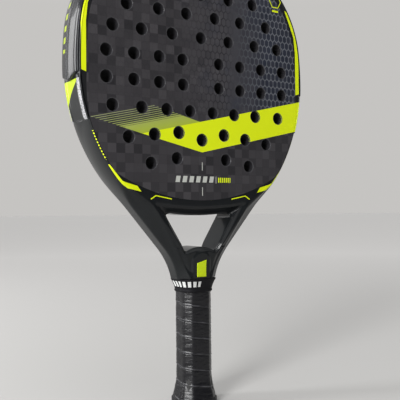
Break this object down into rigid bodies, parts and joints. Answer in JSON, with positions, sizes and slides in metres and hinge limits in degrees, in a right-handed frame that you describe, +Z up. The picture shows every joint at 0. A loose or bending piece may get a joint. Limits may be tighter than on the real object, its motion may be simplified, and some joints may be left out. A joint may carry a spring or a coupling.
{
  "type": "padel racket",
  "caption": "Padel racket with a perforated foam-core head between carbon faces, an open throat, a head protector and a wrapped handle.",
  "frame": {"origin": "centre of the butt end of the handle, at mid-thickness", "axes": "+Z up the racket from the butt to the head, -Y out of the front face, +X to the right seen from the front"},
  "size_m": [0.26, 0.038, 0.4552],
  "materials": {
    "carbon_face": "clear-lacquered large-check carbon weave with printed bands",
    "frame_lacquer": "satin black lacquer over carbon",
    "protector": "glossy moulded strip",
    "eva_foam": "closed-cell foam",
    "badge": "fluorescent yellow-green lacquer",
    "handle_shell": "bare moulded carbon tube",
    "butt_cap": "moulded plastic",
    "butt_ring": "fluorescent yellow-green",
    "base_grip": "cushioned grip tape",
    "overgrip": "smooth tacky polyurethane wrap",
    "tape": "adhesive tape",
    "collar": "stretched rubber ring"
  },
  "bodies": {
    "root": {"foam_core": "eva_foam", "front_face": "carbon_face", "back_face": "carbon_face", "head_tube": "frame_lacquer", "left_arm_tube": "frame_lacquer", "right_arm_tube": "frame_lacquer", "throat_bridge": "frame_lacquer", "bridge_foam": "eva_foam", "neck_yoke": "frame_lacquer", "front_badge": "badge", "back_badge": "badge", "head_protector": "protector", "handle_shell": "handle_shell", "handle_plug": "eva_foam", "butt_cap": "butt_cap", "butt_ring": "butt_ring", "base_grip": "base_grip", "overgrip": "overgrip", "finishing_tape": "tape", "grip_collar": "collar"}
  },
  "joints": []
}
